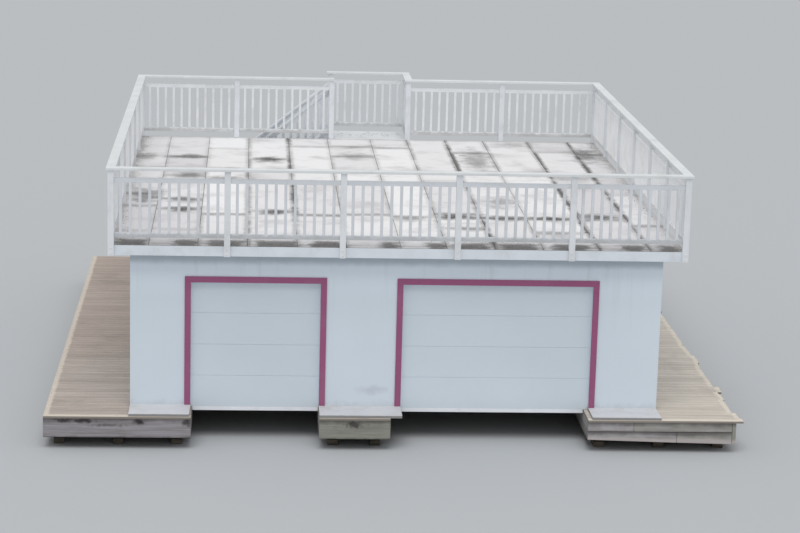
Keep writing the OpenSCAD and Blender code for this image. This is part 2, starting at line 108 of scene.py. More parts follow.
class Finish:
    """A material in the making. Its methods add nodes and give back the socket with the result.

    Noise scales are spots a metre, and the limits of ramps over a place or a distance are metres.
    """

    def __init__(self, name):
        self.material = bpy.data.materials.new(name)
        self.material.use_nodes = True
        self.tree = self.material.node_tree
        self.shader = self.tree.nodes["Principled BSDF"]
        self.place = self.node("ShaderNodeTexCoord").outputs["Object"]

    def feed(self, socket, value):
        """Links another socket to a socket, or sets it to a number, a vector or a colour."""
        if isinstance(value, bpy.types.NodeSocket):
            self.tree.links.new(value, socket)
        else:
            socket.default_value = value[:3] if socket.type == "VECTOR" else value

    def node(self, kind, inputs=None, **settings):
        """A new node with its settings, and its inputs fed by their names or numbers."""
        made = self.tree.nodes.new(kind)
        for key, value in settings.items():
            setattr(made, key, value)
        for key, value in (inputs or {}).items():
            self.feed(made.inputs[key], value)
        return made

    def math(self, operation, *values):
        return self.node("ShaderNodeMath", dict(enumerate(values)), operation=operation).outputs[0]

    def ramp(self, value, low, high, start=0.0, end=1.0):
        """A smooth step from start to end while the value goes from low to high."""
        inputs = {"Value": value, "From Min": low, "From Max": high, "To Min": start, "To Max": end}
        return self.node("ShaderNodeMapRange", inputs, interpolation_type="SMOOTHSTEP").outputs[0]

    def attribute(self, name, output="Vector"):
        """A value that the mesh carries at its vertices."""
        return self.node("ShaderNodeAttribute", attribute_name=name).outputs[output]

    def island(self):
        """A random number from 0 to 1 for each separate solid of a mesh."""
        return self.node("ShaderNodeNewGeometry").outputs["Random Per Island"]

    def split(self, vector):
        return self.node("ShaderNodeSeparateXYZ", {0: vector}).outputs

    def noise(self, scale, at=None, detail=2.0, roughness=0.5):
        """Noise from 0 to 1 with so many spots a metre, in all directions or in each of three."""
        at = at or self.place
        if isinstance(scale, tuple):
            at = self.node("ShaderNodeVectorMath", {0: at, 1: scale}, operation="MULTIPLY").outputs[0]
            scale = 1.0
        inputs = {"Vector": at, "Scale": scale, "Detail": detail, "Roughness": roughness}
        return self.node("ShaderNodeTexNoise", inputs).outputs[0]

    def mix(self, share, first, second):
        inputs = {0: share, 6: first, 7: second}
        return self.node("ShaderNodeMix", inputs, data_type="RGBA").outputs[2]

    def brighten(self, colour, factor):
        inputs = {0: colour, "Scale": factor}
        return self.node("ShaderNodeVectorMath", inputs, operation="SCALE").outputs[0]

    def near(self, value, centre, reach, fade):
        """1 where the value is within reach of the centre, and 0 past the fade."""
        away = self.math("ABSOLUTE", self.math("SUBTRACT", value, centre))
        return self.ramp(away, reach, reach + fade, 1.0, 0.0)

    def spots(self, places, ragged, core, rim=1.15):
        """Up to 1 inside soft ellipses, each given by its centre, its reach and its strength."""
        total = 0.0
        for centre, reach, strength in places:
            scale = [1 / r for r in reach]
            shift = [-c * s for c, s in zip(centre, scale)]
            inputs = {0: self.place, 1: scale, 2: shift}
            at = self.node("ShaderNodeVectorMath", inputs, operation="MULTIPLY_ADD").outputs[0]
            away = self.node("ShaderNodeVectorMath", {0: at}, operation="LENGTH").outputs["Value"]
            spot = self.ramp(self.math("ADD", away, ragged), core, rim, strength, 0.0)
            total = self.math("MAXIMUM", total, spot)
        return total

    def ragged(self, scale, amount):
        """A shift around 0 that frays the edge of a stain."""
        return self.math("MULTIPLY", self.math("SUBTRACT", self.noise(scale, detail=4.0), 0.5), amount)

    def fray(self, value, scale, amount):
        """The value with a ragged shift, for a ramp with a frayed edge."""
        return self.math("ADD", value, self.ragged(scale, amount))

    def finish(self, colour, roughness, height, depth):
        """Sets the colour, the roughness and a relief of so many metres, and gives the material."""
        self.feed(self.shader.inputs["Base Color"], colour)
        self.feed(self.shader.inputs["Roughness"], roughness)
        bump = self.node("ShaderNodeBump", {"Height": height, "Distance": depth, "Strength": 1.0})
        self.feed(self.shader.inputs["Normal"], bump.outputs[0])
        return self.material


def painted_timber(name, colour, soil, soil_share, foot=None, worn_sides=False, roughness=0.48):
    """Paint on planed timber: brush marks, mottling, dirt, bare spots, a soiled foot or worn sides."""
    f = Finish(name)
    mottle = f.noise(3.1, detail=4.0, roughness=0.6)
    spots = f.noise(31.0, detail=5.0, roughness=0.65)
    brush = f.noise(98.0, detail=3.0)
    shade = f.ramp(f.island(), 0.0, 1.0, -0.02, 0.015)
    shade = f.math("ADD", f.ramp(mottle, 0.3, 0.7, 0.965, 1.02), shade)
    paint = f.brighten(colour, shade)
    grime = f.ramp(f.noise(1.7, detail=5.0, roughness=0.7), 0.48, 0.72)
    paint = f.mix(f.math("MULTIPLY", grime, soil_share), paint, soil)
    if foot:
        low, high, share = foot
        z = f.split(f.place)[2]
        splash = f.ramp(f.fray(z, 11.0, 0.12), low, high, share, 0.0)
        splash = f.math("MULTIPLY", splash, f.ramp(mottle, 0.3, 0.6, 0.5, 1.0))
        paint = f.mix(splash, paint, screen(128, 126, 120))
    if worn_sides:
        below = f.fray(f.split(f.attribute("from_high"))[2], 9.0, 0.012)
        paint = f.mix(f.ramp(below, 0.003, 0.012, 0.0, 0.85), paint, screen(128, 125, 123))
    bare = f.ramp(spots, 0.715, 0.76, 0.0, 0.55)
    paint = f.mix(bare, paint, screen(168, 162, 152))
    height = f.math("SUBTRACT", f.math("MULTIPLY", brush, 0.5), bare)
    return f.finish(paint, f.ramp(mottle, 0.3, 0.7, roughness, roughness + 0.12), height, 0.0006)


# A smudge low on the wall between the doors: centre, reach and strength
WALL_SMUDGE = ((-0.34, -4.92, 0.79), (0.28, 0.2, 0.09), 0.42)


def wall_paint():
    """Smooth rolled paint, with painted shade under the eaves over a painted paler band, and with runs, a
    smudge and a little dirt at the foot.
    """
    f = Finish("wall_paint")
    z = f.split(f.place)[2]
    clouds = f.noise(0.55, detail=3.0)
    roller = f.noise(160.0, detail=2.0)
    paint = f.brighten(screen(216, 227, 237), f.ramp(clouds, 0.3, 0.7, 0.975, 1.015))
    # Painted light: the wall is made paler up towards the eaves
    paint = f.brighten(paint, f.ramp(z, 2.1, 2.5, 1.0, 1.1))
    # Painted shade: the wall is darkened just under the eaves
    painted_eave_shade = f.ramp(f.fray(z, 6.0, 0.05), 2.65, 2.77, 0.0, 0.52)
    paint = f.mix(painted_eave_shade, paint, screen(128, 138, 144))
    runs = f.noise((7.0, 7.0, 0.35), detail=4.0, roughness=0.6)
    runs = f.math("MULTIPLY", f.ramp(runs, 0.5, 0.75), f.ramp(z, 1.6, 2.8, 0.02, 0.16))
    paint = f.mix(runs, paint, screen(160, 166, 164))
    foot = f.math("ADD", z, f.math("MULTIPLY", f.noise(9.0, detail=4.0), 0.22))
    paint = f.mix(f.ramp(foot, 0.6, 0.76, 0.22, 0.0), paint, screen(158, 160, 152))
    smudge = f.spots([WALL_SMUDGE], f.ragged(9.0, 1.4), core=0.1)
    paint = f.mix(smudge, paint, screen(176, 178, 194))
    return f.finish(paint, f.ramp(clouds, 0.3, 0.7, 0.5, 0.6), roller, 0.0003)


def door_paint():
    """Factory paint on embossed door sections, a little paler and faintly soiled towards the bottom."""
    f = Finish("door_paint")
    z = f.split(f.place)[2]
    clouds = f.noise(0.7, detail=3.0)
    emboss = f.noise((18.0, 18.0, 220.0), detail=2.0)
    paint = f.brighten(screen(211, 222, 231), f.ramp(clouds, 0.3, 0.7, 0.975, 1.015))
    paint = f.brighten(paint, f.ramp(z, 0.6, 1.4, 1.045, 1.0))
    foot = f.math("ADD", z, f.math("MULTIPLY", f.noise(6.0, detail=4.0), 0.3))
    paint = f.mix(f.ramp(foot, 0.62, 0.85, 0.06, 0.0), paint, screen(168, 172, 166))
    return f.finish(paint, f.ramp(clouds, 0.3, 0.7, 0.36, 0.44), emboss, 0.0003)


def weathered_boards(name, pale, dark, stain, edge):
    """Bare boards greyed by weather, with a tint and grain of their own, checks and paler outer edges.

    The outer edges are those along the front and along the left or the right of the docks. The left
    boards are browner away from the front. Their faces below the top are darker, as painted shade with
    some weathered darkening.
    """
    f = Finish(name)
    y = f.split(f.place)[1]
    grain = f.attribute("grain")
    tint = f.attribute("tint", "Fac")
    along_low, across_low, _ = f.split(f.attribute("from_low"))
    along_high, across_high, below = f.split(f.attribute("from_high"))
    streaks = f.noise((0.9, 24.0, 24.0), grain, detail=3.0)
    fibres = f.noise((5.0, 150.0, 150.0), grain, detail=3.0)
    patches = f.noise(1.1, detail=5.0, roughness=0.62)
    colour = f.mix(f.ramp(streaks, 0.3, 0.72), dark, pale)
    if edge == "left":
        colour = f.mix(f.ramp(y, -3.2, -0.8, 0.0, 0.26), colour, screen(166, 142, 128))
    colour = f.brighten(colour, f.ramp(tint, 0.0, 1.0, 0.93, 1.04))
    colour = f.brighten(colour, f.ramp(fibres, 0.25, 0.75, 0.94, 1.04))
    colour = f.mix(f.ramp(patches, 0.5, 0.75, 0.0, 0.4), colour, stain)
    ends = f.ramp(f.math("MINIMUM", along_low, along_high), 0.0, 0.11, 0.3, 0.0)
    colour = f.mix(f.math("MULTIPLY", ends, streaks), colour, stain)
    sides = f.ramp(f.math("MINIMUM", across_low, across_high), 0.0, 0.01, 0.35, 0.0)
    colour = f.mix(sides, colour, stain)
    outer = along_low if edge == "left" else along_high
    outer = f.math("MINIMUM", outer, f.math("ADD", y, -FRONT_EDGE))
    outer = f.ramp(f.fray(outer, 9.0, 0.06), 0.05, 0.1, 0.5, 0.0)
    colour = f.mix(outer, colour, screen(240, 230, 214))
    # Painted shade, with some weathered darkening, on the faces of the boards below their top
    colour = f.mix(f.ramp(below, 0.004, 0.012, 0.0, 0.8), colour, screen(112, 105, 100))
    vein = f.noise((1.3, 55.0, 55.0), grain, detail=1.0)
    checks = f.ramp(f.math("ABSOLUTE", f.math("SUBTRACT", vein, 0.5)), 0.0, 0.02, 1.0, 0.0)
    checks = f.math("MULTIPLY", checks, f.ramp(streaks, 0.5, 0.62))
    colour = f.mix(f.math("MULTIPLY", checks, 0.5), colour, screen(72, 65, 58))
    height = f.math("SUBTRACT", fibres, checks)
    return f.finish(colour, 0.86, height, 0.0016)


def rim_timber(marks):
    """Rim boards greyed by weather, each with a hue of its own, with painted shadow at the top and darker
    or paler towards the bottom.
    """
    f = Finish("rim_timber")
    hue, fresh, _ = f.split(f.attribute("soil"))
    tint = f.attribute("tint", "Fac")
    grain = f.attribute("grain")
    under = f.split(f.attribute("from_high"))[2]
    above = f.split(f.attribute("from_low"))[2]
    streaks = f.noise((1.1, 26.0, 26.0), grain, detail=4.0)
    fibres = f.noise((6.0, 160.0, 160.0), grain, detail=2.0)
    patches = f.noise(2.3, detail=5.0, roughness=0.65)
    grey = f.mix(f.ramp(hue, 0.0, 0.5), screen(160, 157, 162), screen(152, 154, 143))
    grey = f.mix(f.ramp(hue, 0.5, 1.0), grey, screen(164, 155, 146))
    colour = f.mix(f.ramp(streaks, 0.3, 0.7, 0.55, 0.0), grey, screen(110, 105, 102))
    colour = f.brighten(colour, f.ramp(fibres, 0.25, 0.75, 0.92, 1.06))
    colour = f.brighten(colour, f.ramp(tint, 0.0, 1.5, 0.88, 1.18))
    colour = f.mix(f.ramp(patches, 0.5, 0.74, 0.0, 0.5), colour, screen(112, 107, 102))
    # Painted shadow along the top of the rim, under the edge of the boards
    top = f.ramp(f.fray(under, 5.0, 0.08), 0.0, 0.08, 0.7, 0.0)
    colour = f.mix(top, colour, screen(66, 62, 62))
    # Darker towards the bottom, except on the fresh boards
    dark_foot = f.ramp(f.fray(above, 6.0, 0.04), 0.0, 0.035, 0.7, 0.0)
    dark_foot = f.math("MULTIPLY", dark_foot, f.math("SUBTRACT", 1.0, fresh))
    colour = f.mix(dark_foot, colour, screen(62, 59, 57))
    pale = f.ramp(f.fray(above, 4.0, 0.06), 0.03, 0.08, 1.0, 0.0)
    colour = f.mix(f.math("MULTIPLY", pale, fresh), colour, screen(186, 179, 178))
    colour = f.mix(f.spots(marks, f.ragged(16.0, 2.0), core=0.2), colour, screen(44, 40, 42))
    return f.finish(colour, 0.82, f.math("ADD", fibres, streaks), 0.0016)


def joist_timber():
    """Grey joists under the boards, stained dark towards their foot."""
    f = Finish("joist_timber")
    z = f.split(f.place)[2]
    streaks = f.noise((1.1, 1.1, 28.0), detail=4.0)
    fibres = f.noise((9.0, 9.0, 170.0), detail=2.0)
    patches = f.noise(2.3, detail=5.0, roughness=0.65)
    colour = f.mix(f.ramp(streaks, 0.3, 0.7), screen(120, 116, 114), screen(166, 162, 160))
    colour = f.brighten(colour, f.ramp(fibres, 0.25, 0.75, 0.92, 1.06))
    colour = f.mix(f.ramp(patches, 0.48, 0.72, 0.0, 0.65), colour, screen(112, 108, 104))
    tide = f.math("ADD", z, f.math("MULTIPLY", patches, 0.12))
    colour = f.mix(f.ramp(tide, 0.2, 0.34, 0.6, 0.0), colour, screen(70, 68, 62))
    return f.finish(colour, 0.82, f.math("ADD", fibres, streaks), 0.0016)


def crib_timber():
    """Squared timber of the cribs, dark and wet."""
    f = Finish("crib_timber")
    bark = f.noise((3.0, 3.0, 20.0), detail=5.0, roughness=0.65)
    patches = f.noise(4.0, detail=4.0)
    colour = f.mix(f.ramp(bark, 0.3, 0.7), screen(46, 40, 33), screen(96, 86, 72))
    colour = f.mix(f.ramp(patches, 0.5, 0.7, 0.0, 0.6), colour, screen(58, 62, 44))
    return f.finish(colour, f.ramp(patches, 0.35, 0.65, 0.35, 0.75), bark, 0.004)


def bare_timber():
    """Sawn softwood of the roof joists, seen only from inside."""
    f = Finish("bare_timber")
    rings = f.noise((0.9, 30.0, 30.0), detail=4.0)
    colour = f.mix(f.ramp(rings, 0.3, 0.7), screen(176, 142, 102), screen(206, 176, 134))
    colour = f.brighten(colour, f.ramp(f.island(), 0.0, 1.0, 0.9, 1.06))
    return f.finish(colour, 0.72, rings, 0.001)


# How far dirt reaches from the lengthwise and the cross joints of the roof deck
SIDE_REACH = 0.09
END_REACH = 0.19
# Where the soiled bands at the sides of the roof deck begin, away from its middle
SIDE_BAND = 4.1


def deck_paint(places):
    """Worn white paint on the panels of the roof deck, with dirt along joints and edges, and stains."""
    f = Finish("deck_paint")
    x, y, _ = f.split(f.place)
    tint = f.attribute("tint", "Fac")
    soil_left, soil_right, _ = f.split(f.attribute("soil"))
    soil_front, soil_back, _ = f.split(f.attribute("ends"))
    left, front, _ = f.split(f.attribute("from_low"))
    right, back, _ = f.split(f.attribute("from_high"))
    clouds = f.noise(1.3, detail=5.0, roughness=0.6)
    specks = f.noise(26.0, detail=6.0, roughness=0.7)
    wander = f.ragged(7.0, 0.06)
    drift = f.ragged(3.0, 0.22)
    patchy = f.ramp(f.noise(1.9, detail=3.0), 0.34, 0.56, 0.4, 1.0)
    paint = f.mix(tint, screen(201, 197, 200), screen(244, 244, 245))
    paint = f.mix(f.ramp(clouds, 0.46, 0.74, 0.0, 0.6), paint, screen(184, 180, 182))

    def along(distance, reach, soil):
        return f.math("MULTIPLY", f.ramp(distance, 0.0, reach, 1.0, 0.0), soil)

    left, right = f.math("ADD", left, wander), f.math("ADD", right, wander)
    beside = f.math("MAXIMUM", along(left, SIDE_REACH, soil_left), along(right, SIDE_REACH, soil_right))
    beside = f.math("MULTIPLY", beside, patchy)
    front, back = f.math("ADD", front, drift), f.math("ADD", back, drift)
    across = f.math("MAXIMUM", along(front, END_REACH, soil_front), along(back, END_REACH, soil_back))
    side, end = f.math("MINIMUM", left, right), f.math("MINIMUM", front, back)
    corner = f.ramp(f.math("MAXIMUM", f.math("MULTIPLY", side, 2.0), end), 0.0, 0.24, 1.0, 0.0)
    corner = f.math("MULTIPLY", corner, f.math("MAXIMUM", soil_front, soil_back))
    dirt = f.math("MAXIMUM", corner, f.math("MAXIMUM", beside, across))
    dirt = f.math("MULTIPLY", dirt, f.ramp(specks, 0.3, 0.6, 0.6, 0.95))
    paint = f.mix(dirt, paint, screen(118, 115, 114))
    stains = f.spots(places, f.ragged(4.0, 1.5), core=0.1)
    stains = f.math("MULTIPLY", stains, f.ramp(specks, 0.3, 0.6, 0.6, 1.0))
    paint = f.mix(stains, paint, screen(72, 70, 68))
    edge = f.math("SUBTRACT", f.math("ABSOLUTE", x), SIDE_BAND)
    edge = f.ramp(f.fray(edge, 3.0, 0.3), -0.1, 0.12, 0.0, 1.0)
    edge = f.math("MULTIPLY", edge, f.ramp(y, 1.8, 3.0, 0.24, 0.5))
    paint = f.mix(edge, paint, screen(126, 125, 118))
    patch_low, patch_high, patch_share = f.split(f.attribute("patch"))
    inside = f.math("MINIMUM", f.math("SUBTRACT", x, patch_low), f.math("SUBTRACT", patch_high, x))
    band = f.ramp(f.fray(y, 5.0, 0.16), -4.95, -4.72, 1.0, 0.0)
    band = f.math("MULTIPLY", band, f.ramp(f.fray(inside, 6.0, 0.34), -0.1, 0.08, 0.12, 1.0))
    band = f.math("MULTIPLY", f.math("MULTIPLY", band, patch_share), f.ramp(specks, 0.25, 0.5, 0.7, 1.0))
    paint = f.mix(band, paint, screen(78, 75, 73))
    worn = f.ramp(specks, 0.66, 0.72, 0.0, 0.35)
    paint = f.mix(worn, paint, screen(166, 162, 156))
    roughness = f.ramp(clouds, 0.3, 0.7, 0.55, 0.75)
    return f.finish(paint, roughness, f.math("SUBTRACT", 0.0, worn), 0.0006)


def seam_dirt():
    """Dirt on the underlay, seen in the joints between the panels."""
    f = Finish("seam_dirt")
    colour = f.mix(f.noise(3.0, detail=6.0), screen(96, 94, 90), screen(160, 158, 154))
    return f.finish(colour, 0.9, f.noise(90.0), 0.001)


def tread_paint(middle):
    """White paint on the boards of the landing and the stair, worn to grey wood along their middle."""
    f = Finish("tread_paint")
    y = f.split(f.place)[1]
    tint = f.attribute("tint", "Fac")
    scuffs = f.noise((14.0, 7.0, 14.0), detail=5.0, roughness=0.65)
    mottle = f.noise(3.1, detail=4.0)
    paint = f.brighten(screen(224, 227, 229), f.ramp(tint, 0.0, 1.0, 0.95, 1.01))
    paint = f.mix(f.ramp(mottle, 0.45, 0.75, 0.0, 0.35), paint, screen(180, 178, 172))
    path = f.near(y, middle, 0.08, 0.3)
    worn = f.ramp(f.math("ADD", scuffs, f.math("MULTIPLY", path, 0.1)), 0.6, 0.75, 0.0, 0.6)
    paint = f.mix(worn, paint, screen(150, 142, 132))
    return f.finish(paint, f.ramp(worn, 0.0, 0.8, 0.5, 0.8), f.math("SUBTRACT", 0.0, worn), 0.0008)


def fastener_metal():
    """Zinc on the heads of screws, dulled, with a trace of rust."""
    f = Finish("fastener_metal")
    dull = f.noise(60.0, detail=3.0)
    colour = f.mix(f.ramp(dull, 0.35, 0.7), screen(150, 150, 148), screen(112, 100, 90))
    f.feed(f.shader.inputs["Metallic"], 0.6)
    return f.finish(colour, f.ramp(dull, 0.3, 0.7, 0.4, 0.65), dull, 0.0002)


def dirt_crumbs():
    """Dry leaf litter and soil, grey brown."""
    f = Finish("dirt_crumbs")
    colour = f.mix(f.island(), screen(84, 76, 66), screen(126, 117, 102))
    return f.finish(colour, 0.95, f.noise(300.0, detail=2.0), 0.0008)


# Pieces made in mesh code

# How far the grain of one board may lie from that of the next
GRAIN_SPREAD = 50
# How much lower than the CAD's top the end of a board may settle
SETTLING = 0.002


def stray(pick, reach):
    """A random step of up to the reach, to either side."""
    return pick.uniform(-reach, reach)


class Boards:
    """Boards joined in one mesh, each with a chamfer, a tint and grain coordinates of its own."""

    def __init__(self, name, seed):
        self.name = name
        self.random = random.Random(seed)
        self.bm = bmesh.new()
        vectors = self.bm.verts.layers.float_vector
        self.grain = vectors.new("grain")
        self.from_low = vectors.new("from_low")
        self.from_high = vectors.new("from_high")
        self.soil = vectors.new("soil")
        self.ends = vectors.new("ends")
        self.patch = vectors.new("patch")
        self.tint = self.bm.verts.layers.float.new("tint")

    def settle(self):
        """How far the two ends of a board have settled, for its lift."""
        return (-self.random.uniform(0, SETTLING), -self.random.uniform(0, SETTLING))

    def add(self, low, high, along=0, chamfer=0.003, tint=None, lift=(0, 0), foot=(0, 0),
            soil=(0, 0, 0), ends=(0, 0, 0), patch=(0, 0, 0)):
        """A board between two corners, its grain along one axis, its ends or its lower side lifted.

        Soil, ends and patch are rows of three numbers for the finish.
        """
        low, high = Vector(low), Vector(high)
        size = high - low
        order = [along] + [axis for axis in range(3) if axis != along]
        shift = Vector([self.random.uniform(0, GRAIN_SPREAD) for _ in range(3)])
        tint = self.random.random() if tint is None else tint
        corners = {}
        for signs in [(sx, sy, sz) for sx in (0, 1) for sy in (0, 1) for sz in (0, 1)]:
            for face in range(3):
                place = Vector()
                for axis in range(3):
                    inset = 0 if axis == face else chamfer
                    place[axis] = high[axis] - inset if signs[axis] else low[axis] + inset
                vert = self.bm.verts.new(place)
                below, above = place - low, high - place
                vert[self.grain] = Vector([below[axis] for axis in order]) + shift
                vert[self.from_low] = below
                vert[self.from_high] = above
                vert[self.soil] = soil
                vert[self.ends] = ends
                vert[self.patch] = patch
                vert[self.tint] = tint
                for rise in (lift, foot if not signs[2] else (0, 0)):
                    vert.co.z += rise[0] + (rise[1] - rise[0]) * below[along] / size[along]
                corners[signs, face] = vert
        self.skin(corners)

    def skin(self, corners):
        """Six faces, twelve chamfers and eight corner triangles over the points of a board."""
        faces = []
        for face in range(3):
            u, v = [axis for axis in range(3) if axis != face]
            for side in (0, 1):
                ring = []
                for du, dv in ((0, 0), (1, 0), (1, 1), (0, 1)):
                    signs = [0, 0, 0]
                    signs[face], signs[u], signs[v] = side, du, dv
                    ring.append(corners[tuple(signs), face])
                faces.append(ring)
            for du in (0, 1):
                for dv in (0, 1):
                    ends = []
                    for side in (0, 1):
                        signs = [0, 0, 0]
                        signs[face], signs[u], signs[v] = side, du, dv
                        ends.append(tuple(signs))
                    faces.append([corners[ends[0], u], corners[ends[1], u],
                                  corners[ends[1], v], corners[ends[0], v]])
        for signs in {key[0] for key in corners}:
            faces.append([corners[signs, face] for face in range(3)])
        made = [self.bm.faces.new(ring) for ring in faces]
        bmesh.ops.recalc_face_normals(self.bm, faces=made)

    def make(self, material, slot, *replaced):
        return piece(self.name, self.bm, material, slot, *replaced)


class Heads:
    """Heads of screws or bolts joined in one mesh: rings of a radius and a height, closed off."""

    def __init__(self, name, sides, *rings):
        self.name = name
        self.sides = sides
        self.rings = rings
        self.bm = bmesh.new()

    def add(self, place, out):
        """A head that stands on a face at a place and looks out of it."""
        out = Vector(out)
        u = out.orthogonal().normalized()
        v = out.cross(u)
        loops = []
        for radius, height in self.rings:
            loop = []
            for i in range(self.sides):
                turn = 2 * math.pi * i / self.sides
                around = u * (radius * math.cos(turn)) + v * (radius * math.sin(turn))
                loop.append(self.bm.verts.new(Vector(place) + around + out * height))
            loops.append(loop)
        for lower, upper in zip(loops, loops[1:]):
            for i in range(self.sides):
                j = (i + 1) % self.sides
                self.bm.faces.new([lower[i], lower[j], upper[j], upper[i]])
        self.bm.faces.new(loops[-1])
        self.bm.faces.new(loops[0][::-1])

    def make(self, material, slot):
        return piece(self.name, self.bm, material, slot)


def solids(name):
    """The low and high corners of each separate solid of a CAD node, from left to right."""
    bm = bmesh.new()
    bm.from_mesh(nodes[name].data)
    bmesh.ops.remove_doubles(bm, verts=bm.verts, dist=MERGE_DISTANCE)
    seen, boxes = set(), []
    for first in bm.verts:
        if first in seen:
            continue
        seen.add(first)
        group = [first]
        for vert in group:
            for edge in vert.link_edges:
                other = edge.other_vert(vert)
                if other not in seen:
                    seen.add(other)
                    group.append(other)
        low = Vector([min(vert.co[axis] for vert in group) for axis in range(3)])
        high = Vector([max(vert.co[axis] for vert in group) for axis in range(3)])
        boxes.append((low, high))
    bm.free()
    return sorted(boxes, key=lambda box: tuple(box[0]))


def courses(low, high, width, gap):
    """Where boards of about this width start between two places along Y, and their pitch."""
    count = round((high - low) / (width + gap))
    pitch = (high - low + gap) / count
    return [low + i * pitch for i in range(count)], pitch


def piece(name, bm, material, slot, *replaced):
    """Turns a bmesh into a piece of the building, which may stand for CAD nodes."""
    mesh = bpy.data.meshes.new(name)
    bm.to_mesh(mesh)
    bm.free()
    mesh.materials.append(material)
    made = bpy.data.objects.new(name, mesh)
    bpy.context.scene.collection.objects.link(made)
    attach(made, "root")
    if replaced:
        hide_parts(*replaced)
    return made


# Faces of a CAD node that meet at less than this angle are one flat face
FLAT_ANGLE = math.radians(1)


def dress(names, material, bevel=0.003, segments=2, flat=True):
    """Gives CAD nodes their material and eased edges, after joining flat faces where asked."""
    for name in names:
        node = nodes[name]
        node.data.materials.clear()
        node.data.materials.append(material)
        weld = node.modifiers.new("weld", "WELD")
        weld.merge_threshold = MERGE_DISTANCE
        if flat:
            join = node.modifiers.new("join", "DECIMATE")
            join.decimate_type = "DISSOLVE"
            join.angle_limit = FLAT_ANGLE
        edge = node.modifiers.new("edges", "BEVEL")
        edge.width = bevel
        edge.segments = segments
        edge.limit_method = "ANGLE"


# Docks

# Width of a board, and the gap to the next
BOARD_W = 0.14
BOARD_GAP = 0.006
# How far the ends of the right pier's boards stop short of its edge, from a place along Y up to the next
RIGHT_ENDS = ((-5.5, 0.004), (-5.28, 0.03), (-5.0, 0.085), (-4.2, 0.06), (-3.9, 0.085), (-3.75, 0.012),
              (-3.55, 0.09), (-2.3, 0.07), (-2.02, 0.035), (-1.55, 0.08), (-1.05, 0.1), (-0.85, 0.085),
              (1.42, 0.045), (1.65, 0.085))
# How far the rear dock's boards stop short of its right end, all but the first
REAR_END = 0.06
# Heads of the dock's screws: sides, then radius and height of each ring, and how deep they sit
SCREW = (8, (0.0048, 0.0), (0.0042, 0.0012))
SCREW_SUNK = 0.002
# Where the two screws over a joist stand across a board, as shares of its width
SCREW_SHARES = (0.25, 0.75)


def dock_boards():
    """The boards of the piers and the rear dock, laid one by one and screwed to each joist."""
    pale, dark, stain = screen(195, 183, 174), screen(169, 158, 150), screen(132, 123, 116)
    left = weathered_boards("left_dock_boards", pale, dark, stain, "left")
    pale, dark, stain = screen(218, 209, 198), screen(193, 185, 175), screen(146, 137, 127)
    right = weathered_boards("right_dock_boards", pale, dark, stain, "right")
    screws = Heads("dock_screws", *SCREW)
    for dock, material, seed in (
        ("left_pier", left, 1), ("centre_pier", left, 2), ("right_pier", right, 3), ("rear_dock", left, 4),
    ):
        node = dock + "_boards"
        low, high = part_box(node)
        lines = [(a.x + b.x) / 2 for a, b in solids(dock + "_joists")]
        boards = Boards(node + "_laid", seed)
        pick = boards.random
        starts, pitch = courses(low.y, high.y, BOARD_W, BOARD_GAP)
        for y in starts:
            first = y == starts[0]
            x1 = high.x
            if dock == "right_pier":
                short = [gap for start, gap in RIGHT_ENDS if start < y + pitch / 2][-1]
                x1 -= short + pick.uniform(-0.004, 0.01)
            if dock == "rear_dock":
                x1 -= pick.uniform(0.0, 0.012) + (0.0 if first else REAR_END)
            boards.add((low.x, y, low.z), (x1, y + pitch - BOARD_GAP, high.z),
                       lift=boards.settle(), tint=1.0 if first else None)
            for x in lines:
                for share in SCREW_SHARES:
                    at = y + share * (pitch - BOARD_GAP) + stray(pick, 0.006)
                    screws.add((x + stray(pick, 0.007), at, high.z - SCREW_SUNK), UP)
        boards.make(material, "dock_boards", node)
    screws.make(fastener_metal(), "dock_boards")


# A place along X in the left slip, between the left and the centre pier
LEFT_SLIP = -2.0
# The right pier's rim: where a board ends and the next begins along X, in the upper and the lower course
UPPER_JOINT = (3.53, 3.534)
LOWER_JOINT = (4.18, 4.184)
# The upper course starts above the middle of the rim and is set back, and the lower ends below the middle
UPPER_RISE = 0.003
UPPER_SETBACK = 0.002
LOWER_DROP = 0.005
# Width of the upright board at the corner, how far it hangs down, and where the courses stop beside it
CORNER_BOARD = 0.055
CORNER_DROP = 0.03
COURSE_STOP = 0.06
# Parts and gap of the rear dock's rim boards
REAR_PARTS = 3
REAR_GAP = 0.004
# The front of the rims along Y
RIM_FACE = -5.43
# Dark marks on the rim of the left and centre piers: place along X and Z, reach in X and Z, and strength
RIM_MARKS = (
    (-4.88, 0.435, 0.16, 0.04, 0.9), (-4.60, 0.43, 0.20, 0.05, 0.95), (-3.79, 0.42, 0.12, 0.05, 0.95),
    (-3.08, 0.41, 0.09, 0.08, 0.8), (-0.62, 0.40, 0.18, 0.06, 0.8), (-4.25, 0.36, 0.30, 0.03, 0.5),
)


